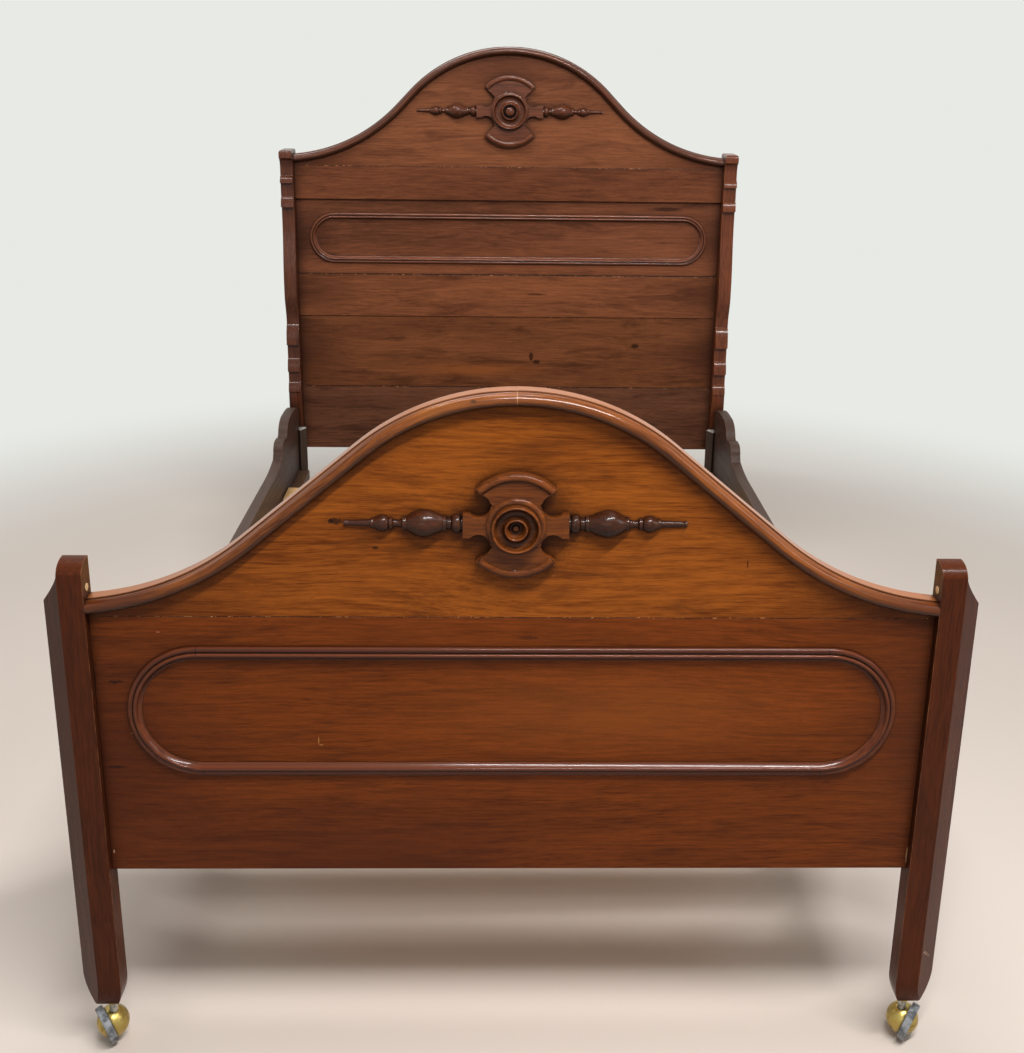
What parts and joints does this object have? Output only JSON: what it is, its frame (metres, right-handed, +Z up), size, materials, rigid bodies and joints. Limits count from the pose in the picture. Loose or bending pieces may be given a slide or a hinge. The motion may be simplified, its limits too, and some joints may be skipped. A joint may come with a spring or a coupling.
{
  "type": "bedstead",
  "caption": "Arched wooden bedstead with a tall boarded headboard, lower arched footboard, turned ornaments, sweeping side rails, slats and ball casters.",
  "frame": {"origin": "on the floor at mid width and mid length", "axes": "+Z up, +Y from the footboard to the headboard, +X to the right as seen from the foot"},
  "size_m": [1.362, 2.031, 1.5608],
  "materials": {
    "foot_board_wood": "old varnished walnut, warm orange brown, satin gloss",
    "head_board_wood": "old varnished walnut, dark red brown, satin",
    "post_wood": "old varnished walnut, dark red brown, satin gloss",
    "molding_wood": "varnished walnut, glossy",
    "ornament_wood": "carved and turned walnut, satin",
    "spindle_wood": "turned walnut, dark, satin gloss",
    "rail_wood": "dull greyish brown, worn finish",
    "cleat_wood": "bare aged wood",
    "pine": "new sawn pine, matt",
    "plug_wood": "pale end grain",
    "iron": "blackened iron",
    "brass": "tarnished brass",
    "caster_metal": "dull zinc",
    "tread": "worn grey tread"
  },
  "bodies": {
    "bedstead": {"foot_post_left": "post_wood", "foot_post_right": "post_wood", "foot_arch_board": "foot_board_wood", "foot_lower_board": "foot_board_wood", "foot_crest_molding_left": "molding_wood", "foot_crest_molding_right": "molding_wood", "foot_panel_molding": "molding_wood", "foot_plaque": "ornament_wood", "foot_roundel": "ornament_wood", "foot_spindle_left": "spindle_wood", "foot_spindle_right": "spindle_wood", "foot_post_plugs": "plug_wood", "head_post_left": "post_wood", "head_post_right": "post_wood", "head_arch_board": "head_board_wood", "head_frieze_board": "head_board_wood", "head_recessed_panel": "head_board_wood", "head_panel_molding": "molding_wood", "head_middle_board": "head_board_wood", "head_lower_board": "head_board_wood", "head_bottom_board": "head_board_wood", "head_crest_molding_left": "molding_wood", "head_crest_molding_right": "molding_wood", "head_plaque": "ornament_wood", "head_roundel": "ornament_wood", "head_spindle_left": "spindle_wood", "head_spindle_right": "spindle_wood", "side_rail_left": "rail_wood", "side_rail_right": "rail_wood", "rail_ledger_left": "pine", "rail_ledger_right": "pine", "corner_cleat_left": "cleat_wood", "corner_cleat_right": "cleat_wood", "slats": "pine", "rail_hooks": "iron", "hook_plates": "iron", "ledger_screws": "iron", "caster_sockets": "brass"},
    "foot_left_caster": {"foot_left_caster_frame": "caster_metal", "foot_left_caster_hood": "brass"},
    "foot_left_wheel": {"foot_left_caster_wheel": "caster_metal", "foot_left_caster_tread": "tread", "foot_left_caster_cap": "brass"},
    "foot_right_caster": {"foot_right_caster_frame": "caster_metal", "foot_right_caster_hood": "brass"},
    "foot_right_wheel": {"foot_right_caster_wheel": "caster_metal", "foot_right_caster_tread": "tread", "foot_right_caster_cap": "brass"},
    "head_left_caster": {"head_left_caster_frame": "caster_metal", "head_left_caster_hood": "brass"},
    "head_left_wheel": {"head_left_caster_wheel": "caster_metal", "head_left_caster_tread": "tread", "head_left_caster_cap": "brass"},
    "head_right_caster": {"head_right_caster_frame": "caster_metal", "head_right_caster_hood": "brass"},
    "head_right_wheel": {"head_right_caster_wheel": "caster_metal", "head_right_caster_tread": "tread", "head_right_caster_cap": "brass"}
  },
  "joints": [
    {"name": "foot_left_swivel", "type": "hinge", "parent": "bedstead", "child": "foot_left_caster", "pos_m": [-0.636, -0.979, 0.082], "axis": [0, 0, 1], "continuous": true},
    {"name": "foot_left_spin", "type": "hinge", "parent": "foot_left_caster", "child": "foot_left_wheel", "pos_m": [-0.65015, -0.97914, 0.03153], "axis": [-0.7948, -0.5565, -0.2419], "continuous": true},
    {"name": "foot_right_swivel", "type": "hinge", "parent": "bedstead", "child": "foot_right_caster", "pos_m": [0.636, -0.979, 0.082], "axis": [0, 0, 1], "continuous": true},
    {"name": "foot_right_spin", "type": "hinge", "parent": "foot_right_caster", "child": "foot_right_wheel", "pos_m": [0.65015, -0.97914, 0.03153], "axis": [0.7948, -0.5565, -0.2419], "continuous": true},
    {"name": "head_left_swivel", "type": "hinge", "parent": "bedstead", "child": "head_left_caster", "pos_m": [-0.633, 0.9785, 0.082], "axis": [0, 0, 1], "continuous": true},
    {"name": "head_left_spin", "type": "hinge", "parent": "head_left_caster", "child": "head_left_wheel", "pos_m": [-0.64467, 0.9705, 0.03153], "axis": [-0.9703, 0, -0.2419], "continuous": true},
    {"name": "head_right_swivel", "type": "hinge", "parent": "bedstead", "child": "head_right_caster", "pos_m": [0.633, 0.9785, 0.082], "axis": [0, 0, 1], "continuous": true},
    {"name": "head_right_spin", "type": "hinge", "parent": "head_right_caster", "child": "head_right_wheel", "pos_m": [0.64467, 0.9705, 0.03153], "axis": [0.9703, 0, -0.2419], "continuous": true}
  ]
}
